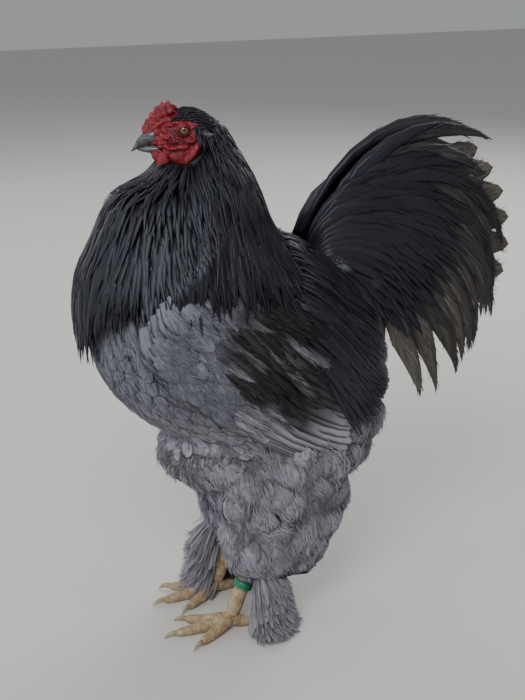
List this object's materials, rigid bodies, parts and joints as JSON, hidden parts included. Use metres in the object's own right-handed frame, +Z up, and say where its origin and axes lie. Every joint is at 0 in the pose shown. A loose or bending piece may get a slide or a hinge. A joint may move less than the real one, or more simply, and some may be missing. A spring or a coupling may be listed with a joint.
{
  "type": "brahma rooster model",
  "caption": "Still life-size model of a brahma rooster standing, neck hackle full, tail arched, shanks and outer toes feathered, band on one leg.",
  "frame": {"origin": "middle of the whole bird's footprint box, on the floor", "axes": "+Z up, the bird faces -Y and its left side is +X"},
  "size_m": [0.2524, 0.581, 0.6754],
  "materials": {
    "plumage_grey": "slate grey feathers laced darker, satin",
    "plumage_dark": "black feathers with a blue gloss",
    "fluff": "pale lavender grey down, matte",
    "face_skin": "crimson bare skin, softly moist",
    "horn": "dark horn, paler at the edge",
    "eye": "orange brown iris, clear and wet",
    "claw": "pale horn",
    "scales": "dusty yellow scales",
    "band": "plain green"
  },
  "bodies": {
    "root": {"beak_lower": "horn", "beak_upper": "horn", "belly": "fluff", "claw_left_hind": "claw", "claw_left_inner": "claw", "claw_left_middle": "claw", "claw_left_outer": "claw", "claw_right_hind": "claw", "claw_right_inner": "claw", "claw_right_middle": "claw", "claw_right_outer": "claw", "comb": "face_skin", "earlobe_left": "face_skin", "earlobe_right": "face_skin", "eye_left": "eye", "eye_right": "eye", "foot_feathers_left": "fluff", "foot_feathers_right": "fluff", "foot_left": "scales", "foot_right": "scales", "head": "face_skin", "leg_band": "band", "leg_left": "fluff", "leg_right": "fluff", "neck": "plumage_dark", "saddle": "plumage_dark", "tail": "plumage_dark", "torso": "plumage_grey", "wattle_left": "face_skin", "wattle_right": "face_skin", "wing_left": "plumage_grey", "wing_right": "plumage_grey"}
  },
  "joints": []
}
